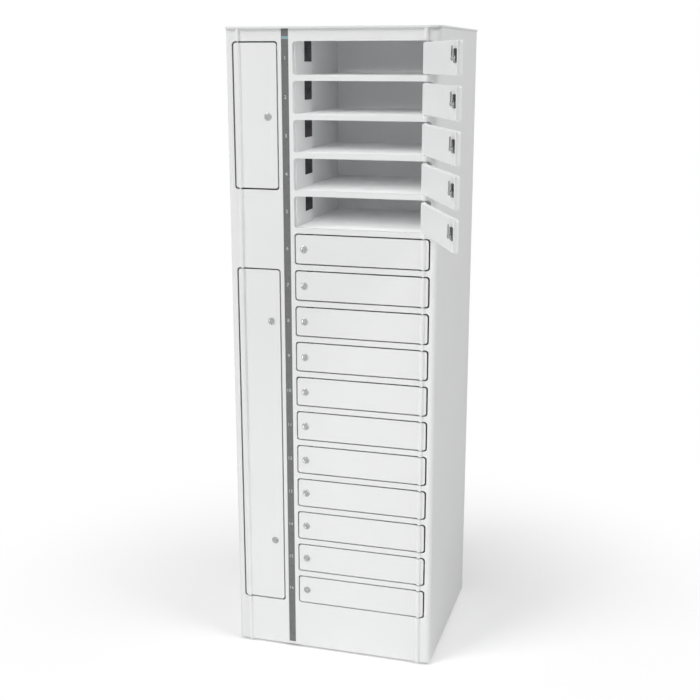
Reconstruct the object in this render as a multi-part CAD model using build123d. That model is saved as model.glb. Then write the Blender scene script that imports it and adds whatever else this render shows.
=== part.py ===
from build123d import *
import math
import os

# Laptop charging locker: sixteen compartments beside a service column, all in millimetres.
# The origin is on the floor at the middle of the footprint, the front faces -Y and +Z is up.

# Cabinet envelope
cabinet_width = 623.0       # over the two side panels
cabinet_height = 1900.0     # floor to the top of the cover
cabinet_depth = 541.0       # main plane of the front to the back of the side panels
foot_gap = 9.0              # floor to the lower edge of the panels
sheet = 1.5                 # folded steel of the carcass
cover_height = 5.0
cover_side = 2.0            # overhang of the cover at the sides and the back

# Front outline seen from above, measured from the main plane of the front
bead_inset = 39.0           # side of the cabinet to the hinge line in the round bead
bead_back = 1.0             # how far the bead's centre stands before the main plane
bead_radius = 6.0
bead_land = 10.5            # hinge line to the flat part of the front
corner_radius = 15.0        # rounded corner between the front and the side
gap_edge_inset = 21.0       # side of the cabinet to the outer edge of every opening
side_flange = 14.0
post_depth = 24.5           # how far back the corner post reaches along the side

# Service column, measured from the left side of the cabinet
service_edge_inset = 156.3  # inner edge of the two service openings
strip_left_inset = 168.3
strip_width = 21.1
opening_left_inset = 201.5
partition_inset = 190.5
lip_width = 10.0            # lip of the service jamb; the other jamb's lip meets the partition

# Heights of the front
top_rail_height = 35.0      # between the openings and the cover
plinth_height = 147.0
compartment_count = 16
rail_height = 16.0
door_corner = 7.0
door_gap = 3.0
upper_service_height = 414.0
mid_panel_height = 231.0
strip_end_height = 8.0      # sheet left below the indicator strip

# Stile between the columns
channel_depth = 8.0
jamb_depth = 17.5           # depth of the returned jambs that the cams latch behind

# Doors
skin = 1.2
rim_depth = 7.5
door_depth = 12.0           # front of the skin to the back of the pan
pan_sheet = 1.0
pan_inset = 10.0            # free edge of the door to the free edge of the pan
pan_hinge_inset = 13.5      # hinge line to the pan
pan_bend = 1.6
pan_slack = 0.15
knuckle_height = 10.0
pin_radius = 1.98
pin_seat = 0.02
pin_fit = 0.07
pin_grip = 8.0
collar_radius = 4.0
collar_play = 0.2           # collar on the pin to the knuckle that it carries
open_angle = 115.8
open_doors = 5              # the first five doors stand open

# Locks
lock_inset = 24.9           # compartment door's free edge to the lock's axis
service_lock_inset = 27.0
bezel_radius = 10.5
bezel_proud = 2.0
barrel_radius = 8.0
plug_radius = 5.5
plug_fit = 0.08
barrel_tail = 4.5           # barrel behind the pan
clip_width = 23.0           # fork clip that holds the barrel behind the pan
clip_height = 33.0
clip_thickness = 2.5
clip_rise = 6.0             # middle of the clip above the barrel's axis
cam_gap = 2.5               # jamb to cam
cam_thickness = 2.0
cam_width = 13.0
cam_reach = 30.0
service_cam_reach = 37.0
screw_radius = 4.5
screw_height = 1.8
lower_lock_from_top = 157.0
lower_lock_from_bottom = 201.0

# Inside
partition_sheet = 1.2
shelf_sheet = 1.2
liner_depth = 470.0         # compartment back, behind the main plane
trunk_back = 176.0          # rear edge of the trunk, whose face is flush with the jamb
cam_play = 1.0              # screw of the cam to the front of the trunk
outlet_depth_place = 135.5  # middle of the outlet, behind the main plane
outlet_width = 61.0
outlet_height = 61.0
outlet_proud = 2.5
outlet_headroom = 8.8       # top of the outlet to the floor above

half_width = cabinet_width / 2
half_depth = cabinet_depth / 2
front_y = -half_depth - 0.5
rear_y = front_y + cabinet_depth
bead_x = half_width - bead_inset
flat_end_x = bead_x - bead_land
gap_edge_x = half_width - gap_edge_inset
pan_hinge_x = bead_x - pan_hinge_inset
service_edge = -half_width + service_edge_inset
strip_left = -half_width + strip_left_inset
strip_right = strip_left + strip_width
opening_left = -half_width + opening_left_inset
partition_x = -half_width + partition_inset
panel_top = cabinet_height - cover_height
openings_top = panel_top - top_rail_height
openings_bottom = foot_gap + plinth_height
pitch = (openings_top - openings_bottom + rail_height) / compartment_count
opening_height = pitch - rail_height
upper_service_bottom = openings_top - upper_service_height
lower_service_top = upper_service_bottom - mid_panel_height
outlet_above_floor = pitch - shelf_sheet - outlet_headroom - outlet_height / 2
service_lock_heights = {
    "lock_upper": (openings_top + upper_service_bottom) / 2,
    "lock_lower_top": lower_service_top - lower_lock_from_top,
    "lock_lower_bottom": openings_bottom + lower_lock_from_bottom,
}
collar_height = door_gap - collar_play
side_inner = half_width - sheet


def opening_floor(number):
    return openings_top - opening_height - (number - 1) * pitch


def opening_middle(number):
    return opening_floor(number) + opening_height / 2


def block(x0, x1, y0, y1, z0, z1):
    """Box between two corners, with y measured back from the main plane of the front."""
    centre = ((x0 + x1) / 2, front_y + (y0 + y1) / 2, (z0 + z1) / 2)
    return Pos(*centre) * Box(abs(x1 - x0), abs(y1 - y0), abs(z1 - z0))


def prism(points, z0, z1):
    """Straight column on a plan outline, with y measured back from the front plane."""
    outline = Polyline(*[(x, front_y + y) for x, y in points], close=True)
    return Pos(0, 0, z0) * extrude(make_face(outline), amount=z1 - z0)


def rod(x, y, z0, z1, radius):
    return Pos(x, front_y + y, (z0 + z1) / 2) * Cylinder(radius, z1 - z0)


def front_section(x_start, thickness, x_end):
    """Plan face of the front sheet on the right half: flat, bead, then flat to the corner."""
    def reach(radius, offset):
        # half of the width at which the bead's circle leaves the flat face
        return math.sqrt(radius ** 2 - (offset + bead_back) ** 2)

    def at(x, y):
        return (x, front_y + y)

    inner_radius = bead_radius - thickness
    reach_out, reach_in = reach(bead_radius, 0.0), reach(inner_radius, thickness)
    outline = [
        Line(at(x_start, 0), at(bead_x - reach_out, 0)),
        ThreePointArc(at(bead_x - reach_out, 0), at(bead_x, -bead_back - bead_radius),
                      at(bead_x + reach_out, 0)),
        Line(at(bead_x + reach_out, 0), at(x_end, 0)),
        Line(at(x_end, 0), at(x_end, thickness)),
        Line(at(x_end, thickness), at(bead_x + reach_in, thickness)),
        ThreePointArc(at(bead_x + reach_in, thickness), at(bead_x, -bead_back - inner_radius),
                      at(bead_x - reach_in, thickness)),
        Line(at(bead_x - reach_in, thickness), at(x_start, thickness)),
        Line(at(x_start, thickness), at(x_start, 0)),
    ]
    return make_face(Curve() + outline)


def front_sheet(x_start, thickness, x_end, z0, z1):
    return Pos(0, 0, z0) * extrude(front_section(x_start, thickness, x_end), amount=z1 - z0)


def rounded_window(x0, x1, z0, z1, radius, y0, y1):
    """Through block with rounded corners in the front view."""
    face = Rectangle(x1 - x0, z1 - z0)
    face = fillet(face.vertices(), radius)
    solid = extrude(face, amount=y1 - y0)
    middle = ((x0 + x1) / 2, front_y + y1, (z0 + z1) / 2)
    return Pos(*middle) * Rot(90, 0, 0) * solid


def mirrored(shape):
    return mirror(shape, about=Plane.YZ)


def only_solids(shape):
    return [solid for solid in shape.solids()]


def save(name, pieces, colour):
    solids = []
    for piece in pieces:
        solids += only_solids(piece)
    node = Compound(label=name, children=solids) if len(solids) > 1 else solids[0]
    node.label = name
    node.color = Color(*colour)
    export_step(node, "parts/" + name + ".step")
    print(name, len(solids), "solids")


white = (0.9, 0.9, 0.9)
grey = (0.45, 0.46, 0.47)
black = (0.05, 0.05, 0.05)
metal = (0.7, 0.7, 0.72)
blue = (0.55, 0.8, 0.9)
green = (0.1, 0.35, 0.2)

os.makedirs("parts", exist_ok=True)


# Cover: a shallow tray that stands over the sides and the back, level with the beads in front
def cover_outline(inset):
    side = half_width + cover_side - inset
    front = -bead_back - bead_radius + inset
    back = cabinet_depth + cover_side - inset
    return [(side, front), (side, back), (-side, back), (-side, front)]


cover = prism(cover_outline(0), panel_top, cabinet_height)
cover = fillet([e for e in cover.edges().filter_by(Axis.Z) if e.center().Y < front_y],
               corner_radius + cover_side)
cover_hem = 22.0
cover -= prism(cover_outline(cover_hem), panel_top, cabinet_height - sheet)
save("top_cover", [cover], white)

# Base plate with four holes for the feet and four floor anchor holes, each in a spacer pad that
# stands on the floor, so that a tightened anchor doesn't bend the plate
anchor_x, anchor_y = half_width - 91.5, half_depth - 80.5
anchor_radius, anchor_pad_radius = 5.5, 15.0
foot_x, foot_y, stem_radius = half_width - 36.5, half_depth - 45.5, 5.0
base_sheet = 2.0
flange_back = max(side_flange, corner_radius) + sheet
base_half = [
    (gap_edge_x, sheet), (gap_edge_x, flange_back), (side_inner, flange_back),
    (side_inner, cabinet_depth - sheet),
]
base = prism(base_half + [(-x, y) for x, y in reversed(base_half)], foot_gap, foot_gap + base_sheet)
base -= block(service_edge, opening_left, 0, jamb_depth, 0, foot_gap + 2 * base_sheet)
for sx in (-1, 1):
    for sy in (-1, 1):
        base += Pos(sx * anchor_x, sy * anchor_y, foot_gap / 2) * Cylinder(anchor_pad_radius, foot_gap)
        base -= Pos(sx * anchor_x, sy * anchor_y, foot_gap) * Cylinder(anchor_radius, 4 * foot_gap)
        base -= Pos(sx * foot_x, sy * foot_y, foot_gap) * Cylinder(stem_radius, 4 * foot_gap)
save("base_pan", [base], white)

# Levelling feet: pad, threaded stem and lock nut under the base plate
feet = []
pad_radius, pad_height, foot_nut_width = 20.0, 5.0, 17.0
for sx in (-1, 1):
    for sy in (-1, 1):
        pad = Pos(0, 0, pad_height / 2) * Cylinder(pad_radius, pad_height)
        pad = chamfer(pad.edges().filter_by(GeomType.CIRCLE).group_by(Axis.Z)[-1], 1.5)
        stem = Pos(0, 0, foot_gap + 9) * Cylinder(stem_radius - 0.05, 2 * foot_gap + 14)
        nut = extrude(RegularPolygon(foot_nut_width / 2, 6), foot_gap - pad_height)
        nut = Pos(0, 0, pad_height) * nut
        feet.append(Pos(sx * foot_x, sy * foot_y, 0) * (pad + stem + nut))
save("levelling_feet", feet, metal)

# Side panels: a corner post folded back beside the doors, welded to the flat side
post = prism([
    (gap_edge_x, 0), (half_width, 0), (half_width, post_depth), (side_inner, post_depth),
    (side_inner, sheet), (gap_edge_x + sheet, sheet), (gap_edge_x + sheet, side_flange),
    (gap_edge_x, side_flange),
], foot_gap, panel_top)
fold = [e for e in post.edges().filter_by(Axis.Z) if abs(e.center().X - side_inner) < 0.1
        and abs(e.center().Y - front_y - sheet) < 0.1]
post = fillet(fold, corner_radius - sheet)
bend = [e for e in post.edges().filter_by(Axis.Z) if abs(e.center().X - half_width) < 0.1
        and abs(e.center().Y - front_y) < 0.1]
post = fillet(bend, corner_radius)
flat_side = block(side_inner, half_width, post_depth, cabinet_depth, foot_gap, panel_top)
save("side_panel_right", [flat_side, post], white)
save("side_panel_left", [mirrored(flat_side), mirrored(post)], white)

# Back panel with two fields of vent slots and the cut-out for the mains inlet
back_face = cabinet_depth
back = block(-side_inner, side_inner, back_face - sheet, back_face, foot_gap, panel_top)
slot_width, slot_height, slot_step, slot_rows = 90.0, 6.0, 16.0, 9
low_vents, high_vents = foot_gap + 291.0, panel_top - 253.5
for column in (-half_width + 101.5, 0.0, half_width - 171.5):
    for low in (low_vents, high_vents):
        for row in range(slot_rows):
            z = low + row * slot_step
            back -= block(column - slot_width / 2, column + slot_width / 2,
                          back_face - 3 * sheet, back_face + sheet, z, z + slot_height)
wall_hole_x, wall_hole_z, wall_hole_radius = half_width - 111.5, 1500.0, 4.5
inlet_x, inlet_z = -half_width + 96.5, foot_gap + 101.0
inlet_width, inlet_height, inlet_depth = 28.0, 48.0, 30.0
back -= block(inlet_x - inlet_width / 2, inlet_x + inlet_width / 2, back_face - 3 * sheet,
              back_face + sheet, inlet_z - inlet_height / 2, inlet_z + inlet_height / 2)
for hole_x in (-wall_hole_x, wall_hole_x):
    hole = Pos(hole_x, rear_y, wall_hole_z) * Rot(90, 0, 0) * Cylinder(wall_hole_radius, 6 * sheet)
    back -= hole
save("back_panel", [back], white)

# Mains inlet: flanged body with three pins in a recess, facing the rear
recess_half_width, recess_low, recess_high, recess_depth = 11.0, -2.0, 20.0, 18.0
flange_proud, flange_margin, pin_half_width, pin_half_height = 2.5, 3.0, 1.0, 2.0
inlet = block(inlet_x - inlet_width / 2, inlet_x + inlet_width / 2, back_face - inlet_depth,
              back_face, inlet_z - inlet_height / 2, inlet_z + inlet_height / 2)
inlet += block(inlet_x - inlet_width / 2 - flange_margin, inlet_x + inlet_width / 2 + flange_margin,
               back_face, back_face + flange_proud, inlet_z - inlet_height / 2 - 2 * flange_margin,
               inlet_z + inlet_height / 2 + 2 * flange_margin)
inlet -= block(inlet_x - recess_half_width, inlet_x + recess_half_width, back_face - recess_depth,
               back_face + 2 * flange_proud, inlet_z + recess_low, inlet_z + recess_high)
inlet_pins = []
for dx, dz in ((-6.0, 6.0), (6.0, 6.0), (0.0, 12.0)):
    inlet_pins.append(block(inlet_x + dx - pin_half_width, inlet_x + dx + pin_half_width,
                            back_face - recess_depth, back_face - 2.0,
                            inlet_z + dz - pin_half_height, inlet_z + dz + pin_half_height))
save("mains_inlet", [inlet] + inlet_pins, black)


# Fixed members of the front, each with a block inside the bead that carries the hinge pins
def hinge_block(z0, z1):
    bore = rod(bead_x, -bead_back, z0 - 1, z1 + 1, pin_radius + pin_seat)
    return rod(bead_x, -bead_back, z0, z1, bead_radius - sheet + 0.4) - bore


def fixed_sheet(x_start, z0, z1, blocks):
    piece = front_sheet(x_start, sheet, gap_edge_x, z0, z1)
    for block_low, block_high in blocks:
        piece += hinge_block(block_low, block_high)
    return piece


block_height = 14.0
rail_return = 12.0
top_block = [(openings_top, openings_top + block_height)]
top_right = fixed_sheet(opening_left, openings_top, panel_top, top_block)
top_left = fixed_sheet(-service_edge, openings_top, panel_top, top_block)
save("front_top_rail", [top_right, mirrored(top_left)], white)

bottom_right = fixed_sheet(opening_left, foot_gap, openings_bottom,
                           [(openings_bottom - block_height, openings_bottom - shelf_sheet)])
bottom_left = fixed_sheet(-service_edge, foot_gap, openings_bottom,
                          [(openings_bottom - block_height, openings_bottom)])
bottom_right += block(opening_left, flat_end_x, 0, rail_return, openings_bottom - shelf_sheet - sheet,
                      openings_bottom - shelf_sheet)
save("front_bottom_rail", [bottom_right, mirrored(bottom_left)], white)

middle = fixed_sheet(-service_edge, lower_service_top, upper_service_bottom,
                     [(lower_service_top, lower_service_top + block_height),
                      (upper_service_bottom - block_height, upper_service_bottom)])
save("front_mid_panel", [mirrored(middle)], white)

rails = []
for number in range(1, compartment_count):
    high = opening_floor(number)
    low = high - rail_height
    rail = fixed_sheet(opening_left, low, high, [(low, high - shelf_sheet)])
    rail += block(opening_left, flat_end_x, 0, rail_return, low, low + sheet)
    rails.append(rail)
save("compartment_rails", rails, white)

# Stile between the columns: two returned jambs with lips, and a channel for the strip
stile = block(service_edge, strip_left, 0, sheet, foot_gap, panel_top)
stile += block(strip_right, opening_left, 0, sheet, foot_gap, panel_top)
stile += block(service_edge, service_edge + sheet, 0, jamb_depth, foot_gap, panel_top)
stile += block(opening_left - sheet, opening_left, 0, jamb_depth, foot_gap, panel_top)
stile += block(service_edge, service_edge + lip_width, jamb_depth - sheet, jamb_depth,
               foot_gap, panel_top)
stile += block(partition_x, opening_left, jamb_depth - sheet, jamb_depth, foot_gap, panel_top)
stile += block(strip_left - sheet, strip_left, 0, channel_depth, foot_gap, panel_top)
stile += block(strip_right, strip_right + sheet, 0, channel_depth, foot_gap, panel_top)
stile += block(strip_left - sheet, strip_right + sheet, channel_depth, channel_depth + sheet,
               foot_gap, panel_top)
strip_bottom = foot_gap + strip_end_height
stile += block(strip_left, strip_right, 0, sheet, foot_gap, strip_bottom)
save("front_stile", [stile], white)

# Indicator strip: a U-shaped lens carrier with a window beside each compartment
board_thickness, board_inset, board_slack = 1.6, 10.0, 0.2
carrier_front, carrier_wall, carrier_side = 0.3, 2.0, 1.2
carrier_back = channel_depth - board_thickness
window_width, window_height = 12.0, 17.0
band_from_top, band_height, band_margin = 29.0, 7.5, 0.5
strip_middle = (strip_left + strip_right) / 2
carrier = block(strip_left, strip_right, carrier_front, carrier_back, strip_bottom, panel_top)
carrier -= block(strip_left + carrier_side, strip_right - carrier_side,
                 carrier_front + carrier_wall, carrier_back + 1, strip_bottom - 1, panel_top + 1)
lenses = []
for number in range(1, compartment_count + 1):
    z = opening_middle(number)
    lens = block(strip_middle - window_width / 2, strip_middle + window_width / 2, carrier_front,
                 carrier_front + carrier_wall, z - window_height / 2, z + window_height / 2)
    carrier -= lens
    lenses.append(lens)
band_low = panel_top - band_from_top
band = block(strip_left + band_margin, strip_right - band_margin, carrier_front,
             carrier_front + carrier_wall, band_low, band_low + band_height)
carrier -= band
save("indicator_strip", [carrier], grey)
save("indicator_lenses", lenses + [band], blue)

# Circuit board behind the strip, with one light under each window and one under the band
board = block(strip_left + board_slack, strip_right - board_slack, carrier_back, channel_depth,
              strip_bottom + board_inset, panel_top - board_inset)
light_height, light_half = 1.5, 2.5
light_places = [opening_middle(n) for n in range(1, compartment_count + 1)]
for z in light_places + [band_low + band_height / 2]:
    board += block(strip_middle - light_half, strip_middle + light_half,
                   carrier_back - light_height, carrier_back, z - light_half, z + light_half)
save("indicator_board", [board], green)

# Partition between the columns, and the back of the compartments
face_x = partition_x + partition_sheet
partition = block(partition_x, face_x, jamb_depth, back_face - sheet, foot_gap + base_sheet, panel_top)
save("centre_partition", [partition], white)
liner = block(face_x, side_inner, liner_depth, liner_depth + shelf_sheet, foot_gap + base_sheet, panel_top)
save("compartment_back", [liner], white)

# Compartment floors, notched round the wiring trunk and the returned edge of the side panel
bead_clear = 4.0
shelf_outline = [
    (opening_left, sheet), (flat_end_x, sheet), (flat_end_x, bead_clear), (gap_edge_x, bead_clear),
    (gap_edge_x, post_depth), (side_inner, post_depth), (side_inner, liner_depth),
    (face_x, liner_depth), (face_x, trunk_back), (opening_left, trunk_back),
]
shelves = []
for number in range(1, compartment_count + 1):
    high = opening_floor(number)
    shelves.append(prism(shelf_outline, high - shelf_sheet, high))
save("compartment_shelves", shelves, white)

# Wiring trunk: the vertical cover that carries one outlet in each compartment. The cams turn
# in the slot between the jamb and its front.
trunk_sheet = 1.2
trunk_front = jamb_depth + cam_gap + cam_thickness + screw_height + cam_play
trunk = block(face_x, opening_left, trunk_front, trunk_back, openings_bottom - shelf_sheet, panel_top)
trunk -= block(face_x - 1, opening_left - trunk_sheet, trunk_front + trunk_sheet,
               trunk_back - trunk_sheet, foot_gap, panel_top + 1)
outlet_body_width, outlet_body_height = 44.0, 52.0
outlets = []
for number in range(1, compartment_count + 1):
    z = opening_floor(number) + outlet_above_floor
    y = outlet_depth_place
    hole = block(opening_left - 5, opening_left + 5, y - outlet_body_width / 2,
                 y + outlet_body_width / 2, z - outlet_body_height / 2, z + outlet_body_height / 2)
    trunk -= hole
    plate = block(opening_left, opening_left + outlet_proud, y - outlet_width / 2,
                  y + outlet_width / 2, z - outlet_height / 2, z + outlet_height / 2)
    plate = chamfer(plate.faces().sort_by(Axis.X)[-1].edges(), 1.0)
    body = block(face_x, opening_left, y - outlet_body_width / 2, y + outlet_body_width / 2,
                 z - outlet_body_height / 2, z + outlet_body_height / 2)
    outlet = plate + body
    for dy in (-15.0, 15.0):
        for side_step in (-6.0, 6.0):
            outlet -= block(opening_left - 8, opening_left + 5, y + dy - 4, y + dy + 4,
                            z + side_step - 1.1, z + side_step + 1.1)
        outlet -= Pos(opening_left, front_y + y + dy - 8.5, z) * Rot(0, 90, 0) * Cylinder(2.4, 12)
    outlets.append(outlet)
save("wiring_trunk", [trunk], white)
save("socket_outlets", outlets, black)

# Service column: vertical power rail and charge controller, both fixed to the partition
rail_low, rail_high = openings_bottom + 44.0, lower_service_top + 165.0
rail_back, rail_depth, rail_width, rail_bevel = 230.0, 46.0, 44.0, 2.0
socket_end, socket_depth, socket_half_width, socket_half_height = 60.0, 10.0, 14.0, 12.0
power_rail = block(partition_x - rail_depth, partition_x, rail_back - rail_width / 2,
                   rail_back + rail_width / 2, rail_low, rail_high)
power_rail = chamfer(power_rail.faces().sort_by(Axis.X)[0].edges(), rail_bevel)
rail_step = (rail_high - rail_low - 2 * socket_end) / (compartment_count - 1)
for number in range(compartment_count):
    z = rail_low + socket_end + number * rail_step
    power_rail -= block(partition_x - rail_depth - 1, partition_x - rail_depth + socket_depth,
                        rail_back - socket_half_width, rail_back + socket_half_width,
                        z - socket_half_height, z + socket_half_height)
save("power_rail", [power_rail], black)
case_depth, case_front, case_back, case_height, case_bend = 62.0, 140.0, 320.0, 260.0, 3.0
case_low = upper_service_bottom + 74.0
case_face = partition_x - case_depth
controller = block(case_face, partition_x, case_front, case_back, case_low, case_low + case_height)
controller = fillet(controller.faces().sort_by(Axis.X)[0].edges(), case_bend)
vent_count, vent_step, vent_height, vent_depth = 7, 9.0, 3.0, 2.0
for number in range(vent_count):
    z = case_low + 40.0 + number * vent_step
    controller -= block(case_face - 1, case_face + vent_depth, case_front + 30, case_back - 30,
                        z, z + vent_height)
controller += block(case_face - 2.0, case_face + 1.0, case_front + 50, case_back - 50,
                    case_low + case_height - 90, case_low + case_height - 40)
save("charge_controller", [controller], grey)

# Hinge pins: one in every hinge block, held by the block and turning in the doors' knuckles
pins = []


def hinge_pin(low, high, collar_z):
    pin = rod(bead_x, -bead_back, low, high, pin_radius)
    if collar_z is not None:
        pin += rod(bead_x, -bead_back, collar_z, collar_z + collar_height, collar_radius)
    return pin


for number in range(1, compartment_count):
    high = opening_floor(number)
    low = high - rail_height
    pins.append(hinge_pin(low - door_gap - pin_grip, high + door_gap + pin_grip, high))
top_pin = hinge_pin(openings_top - door_gap - pin_grip, openings_top + block_height, None)
bottom_pin = hinge_pin(openings_bottom - block_height, openings_bottom + door_gap + pin_grip,
                       openings_bottom)
pins += [top_pin, bottom_pin, mirrored(top_pin), mirrored(bottom_pin)]
pins.append(mirrored(hinge_pin(lower_service_top - door_gap - pin_grip,
                               lower_service_top + block_height, None)))
pins.append(mirrored(hinge_pin(upper_service_bottom - block_height,
                               upper_service_bottom + door_gap + pin_grip, upper_service_bottom)))
save("hinge_pins", pins, metal)


# One door on the right half: outer skin with a returned rim and bead, inner pan, lock barrels
def door(free_x, z0, z1, locks):
    corner = door_corner
    end_x = gap_edge_x - door_gap
    outline = rounded_window(free_x, end_x, z0, z1, corner, -20, 30)
    tray = block(free_x, flat_end_x, 0, rim_depth, z0, z1)
    tray -= rounded_window(free_x + skin, 300.0, z0 + skin, z1 - skin, corner - skin, skin, 30)
    shell = tray + front_sheet(flat_end_x, skin, end_x, z0, z1)
    for low, high in ((z0, z0 + knuckle_height), (z1 - knuckle_height, z1)):
        shell += rod(bead_x, -bead_back, low, high, bead_radius - skin + 0.4)
    shell &= outline
    for low, high in ((z0, z0 + knuckle_height), (z1 - knuckle_height, z1)):
        shell -= rod(bead_x, -bead_back, low - 1, high + 1, pin_radius + pin_fit)
    pan_low, pan_high = z0 + skin + pan_slack, z1 - skin - pan_slack
    pan = block(free_x + pan_inset, pan_hinge_x, skin, door_depth, pan_low, pan_high)
    pan = fillet(pan.faces().sort_by(Axis.Y)[-1].edges(), pan_bend)
    pan -= block(free_x + pan_inset + pan_sheet, pan_hinge_x - pan_sheet, skin - 1,
                 door_depth - pan_sheet, pan_low + pan_sheet, pan_high - pan_sheet)
    barrels = []
    for lock_x, lock_z in locks:
        turn = Pos(lock_x, front_y, lock_z) * Rot(-90, 0, 0)
        hole = turn * Pos(0, 0, door_depth / 2) * Cylinder(barrel_radius, 2 * door_depth)
        shell -= hole
        pan -= hole
        barrel_end = door_depth + barrel_tail
        barrel = Pos(0, 0, barrel_end / 2) * Cylinder(barrel_radius, barrel_end)
        bezel = Pos(0, 0, -bezel_proud / 2) * Cylinder(bezel_radius, bezel_proud)
        bezel = chamfer(bezel.edges().filter_by(GeomType.CIRCLE).group_by(Axis.Z)[0], 0.8)
        clip = Pos(0, -clip_rise, door_depth + clip_thickness / 2)
        clip = clip * Box(clip_width, clip_height, clip_thickness)
        bore = Pos(0, 0, 5) * Cylinder(plug_radius + plug_fit, 60)
        barrels.append(turn * (barrel + bezel + clip - bore))
    return [shell, pan] + barrels


# The turning part of a lock: plug with a key slot, cam plate and cam screw
def lock(lock_x, lock_z, reach, swing):
    cam_front = jamb_depth + cam_gap
    plug_front = -bezel_proud + 0.5
    plug = Pos(0, 0, (plug_front + cam_front) / 2) * Cylinder(plug_radius, cam_front - plug_front)
    plug -= Pos(0, 0, plug_front) * Box(1.4, 7.0, 4.0)
    cam_outline = fillet(Rectangle(cam_width, reach + cam_width / 2).vertices(), 3.0)
    cam = Pos(0, -(reach - cam_width / 2) / 2, cam_front) * extrude(cam_outline, cam_thickness)
    screw = Pos(0, 0, cam_front + cam_thickness + screw_height / 2)
    screw = screw * Cylinder(screw_radius, screw_height)
    screw -= Pos(0, 0, cam_front + cam_thickness + screw_height) * Box(1.2, 6.5, 2.4)
    turn = Pos(lock_x, front_y, lock_z) * Rot(-90, 0, 0)
    return [turn * Rot(0, 0, swing) * piece for piece in (plug, cam, screw)]


hinge_axis = Axis((bead_x, front_y - bead_back, 0), (0, 0, 1))
free_x = opening_left + door_gap
lock_x = free_x + lock_inset
for number in range(1, compartment_count + 1):
    floor = opening_floor(number)
    middle_z = opening_middle(number)
    pieces = door(free_x, floor + door_gap, floor + opening_height - door_gap, [(lock_x, middle_z)])
    turning = lock(lock_x, middle_z, cam_reach, 0)
    if number <= open_doors:
        pieces = [piece.rotate(hinge_axis, open_angle) for piece in pieces]
        turning = [piece.rotate(hinge_axis, open_angle) for piece in turning]
    tag = "%02d" % number
    save("door_" + tag, pieces, white)
    save("lock_" + tag, turning, metal)

# Service doors are built on the right half and mirrored, so that they hinge on the left bead
service_free = -service_edge + door_gap
service_lock = service_free + service_lock_inset
doors = {
    "service_door_upper": (upper_service_bottom, openings_top, ["lock_upper"]),
    "service_door_lower": (openings_bottom, lower_service_top, ["lock_lower_top", "lock_lower_bottom"]),
}
for name, (low, high, lock_names) in doors.items():
    places = [(service_lock, service_lock_heights[key]) for key in lock_names]
    pieces = door(service_free, low + door_gap, high - door_gap, places)
    save(name, [mirrored(piece) for piece in pieces], white)
    for key in lock_names:
        turning = lock(service_lock, service_lock_heights[key], service_cam_reach, 0)
        save(key, [mirrored(piece) for piece in turning], metal)
print("done", len(os.listdir("parts")), "nodes")
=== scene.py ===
import math

import bpy
from mathutils import Matrix, Vector


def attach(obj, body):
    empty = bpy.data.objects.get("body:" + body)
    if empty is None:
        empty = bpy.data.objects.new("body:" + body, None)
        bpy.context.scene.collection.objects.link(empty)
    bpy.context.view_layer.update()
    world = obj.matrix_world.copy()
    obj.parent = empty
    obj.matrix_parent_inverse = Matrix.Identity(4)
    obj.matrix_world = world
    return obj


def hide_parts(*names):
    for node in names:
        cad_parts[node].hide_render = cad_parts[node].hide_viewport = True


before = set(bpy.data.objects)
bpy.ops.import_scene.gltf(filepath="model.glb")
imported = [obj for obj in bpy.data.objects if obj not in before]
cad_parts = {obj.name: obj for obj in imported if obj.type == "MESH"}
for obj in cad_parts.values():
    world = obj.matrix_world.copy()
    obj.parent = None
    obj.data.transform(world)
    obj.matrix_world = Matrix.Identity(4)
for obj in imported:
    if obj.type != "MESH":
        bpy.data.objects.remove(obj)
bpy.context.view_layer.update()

# A tall charging locker. Sizes are in millimetres, in the frame's own axes, unless a note
# says otherwise.
# "Depth" runs back from the main plane of the front, which stands at y = frontY.
mm = 0.001
frontY = -271.0
compartments = {"count": 16, "firstMiddle": 1814.25, "pitch": 107.5, "clearHeight": 91.5}
fullTurn = 2 * math.pi
print("frame loaded:", len(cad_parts), "nodes")


def compartmentMiddle(number):
    return compartments["firstMiddle"] - (number - 1) * compartments["pitch"]


# Materials. Noise scales are per metre; bump depths and edge radii are in metres.

finishNoise = {
    "tones": (0.35, 0.65),      # where the noise turns from the darker to the lighter tone
    "roughness": (0.3, 0.7),
    "edgeSamples": 4,
}


def newMaterial(name):
    material = bpy.data.materials.new(name)
    material.use_nodes = True
    tree = material.node_tree
    return material, tree, tree.nodes["Principled BSDF"]


def addNode(tree, kind, **inputs):
    node = tree.nodes.new(kind)
    for key, value in inputs.items():
        if key in node.inputs:
            node.inputs[key].default_value = value
        else:
            setattr(node, key, value)
    return node


def objectNoise(tree, scale, detail=2.0, roughness=0.5):
    place = addNode(tree, "ShaderNodeTexCoord")
    noise = addNode(tree, "ShaderNodeTexNoise", Scale=scale, Detail=detail, Roughness=roughness)
    tree.links.new(place.outputs["Object"], noise.inputs["Vector"])
    return noise


def blendColours(tree, shader, noise, low, high):
    ramp = addNode(tree, "ShaderNodeValToRGB")
    for index, colour in enumerate((low, high)):
        element = ramp.color_ramp.elements[index]
        element.position = finishNoise["tones"][index]
        element.color = (*colour, 1.0)
    tree.links.new(noise.outputs["Fac"], ramp.inputs["Fac"])
    tree.links.new(ramp.outputs["Color"], shader.inputs["Base Color"])
    return ramp


def varyRoughness(tree, shader, noise, low, high):
    spread = addNode(tree, "ShaderNodeMapRange")
    spread.inputs["From Min"].default_value = finishNoise["roughness"][0]
    spread.inputs["From Max"].default_value = finishNoise["roughness"][1]
    spread.inputs["To Min"].default_value = low
    spread.inputs["To Max"].default_value = high
    tree.links.new(noise.outputs["Fac"], spread.inputs["Value"])
    tree.links.new(spread.outputs["Result"], shader.inputs["Roughness"])


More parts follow.
